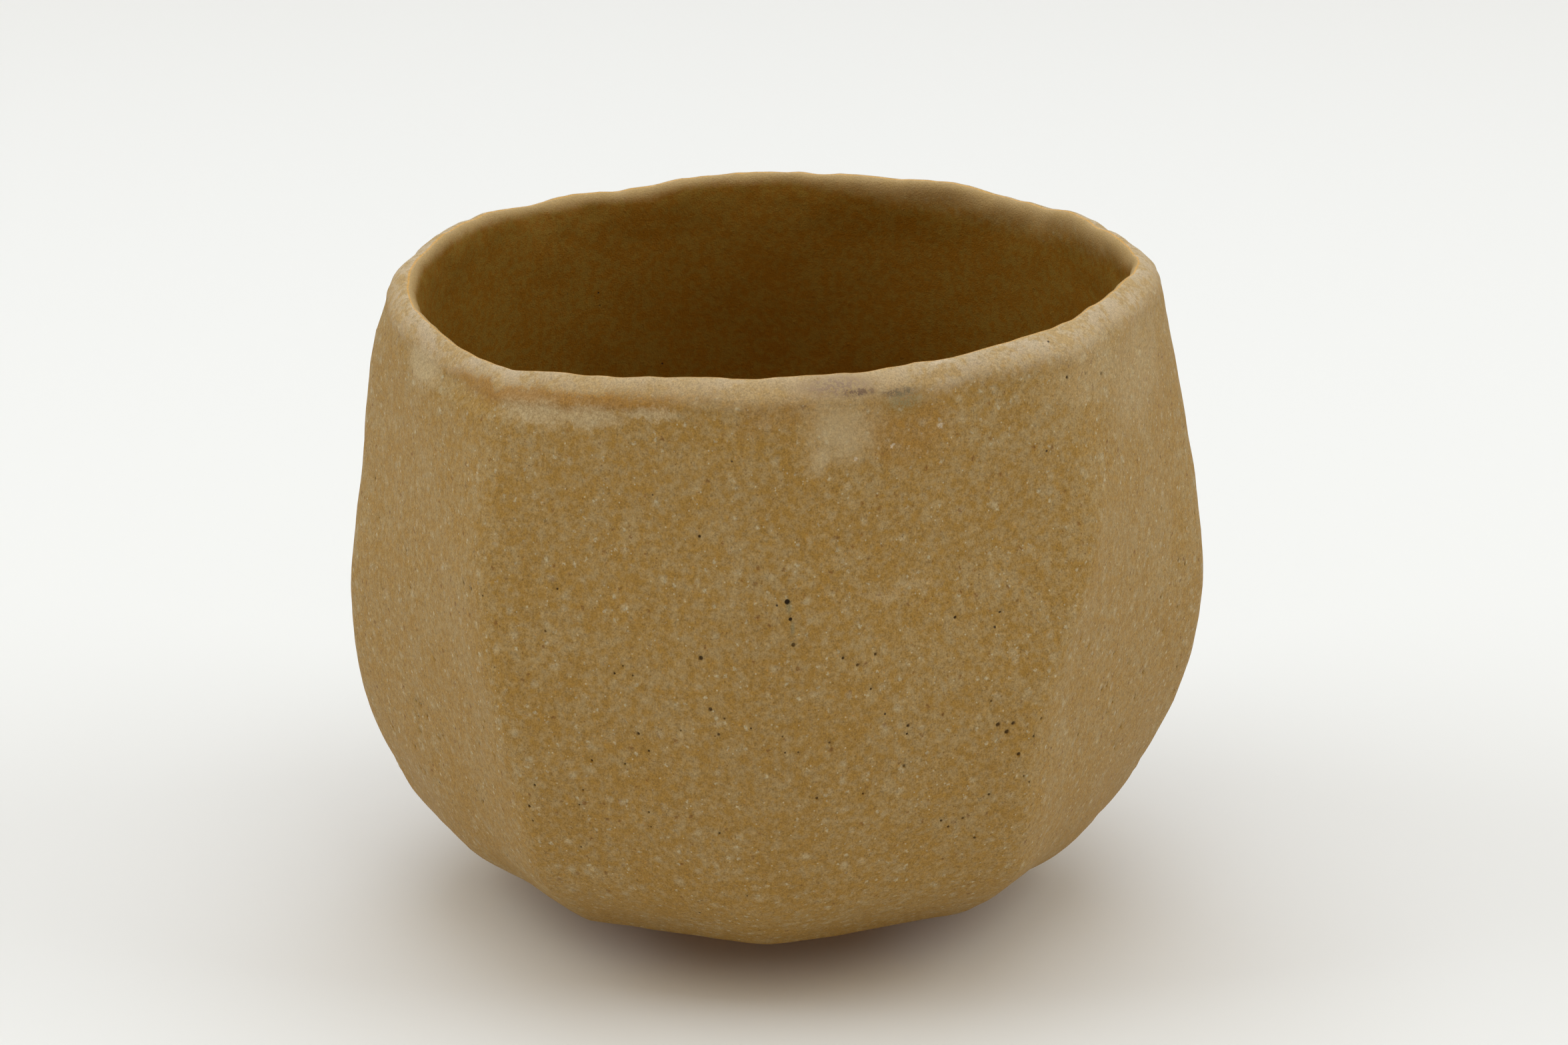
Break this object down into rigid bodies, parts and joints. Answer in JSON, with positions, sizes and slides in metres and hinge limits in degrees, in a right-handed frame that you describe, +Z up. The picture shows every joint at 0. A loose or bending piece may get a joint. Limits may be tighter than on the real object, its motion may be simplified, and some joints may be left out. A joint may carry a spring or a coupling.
{
  "type": "tea bowl",
  "caption": "Hand-built stoneware tea bowl with cut facets, a drawn-in mouth, an uneven rolled lip and a low foot ring; holds a drink and stands on a table.",
  "frame": {"origin": "on the table, under the middle of the bowl's outline", "axes": "+Z up through the mouth, -Y towards the front that the picture shows, +X to the right of that view"},
  "size_m": [0.118, 0.1144, 0.0922],
  "materials": {
    "ochre_glaze": "matte",
    "lip_glaze": "matte",
    "bare_clay": "matte"
  },
  "bodies": {
    "root": {"foot_ring": "bare_clay", "floor_disc": "ochre_glaze", "wall": "ochre_glaze", "lip_coil": "lip_glaze"}
  },
  "joints": []
}
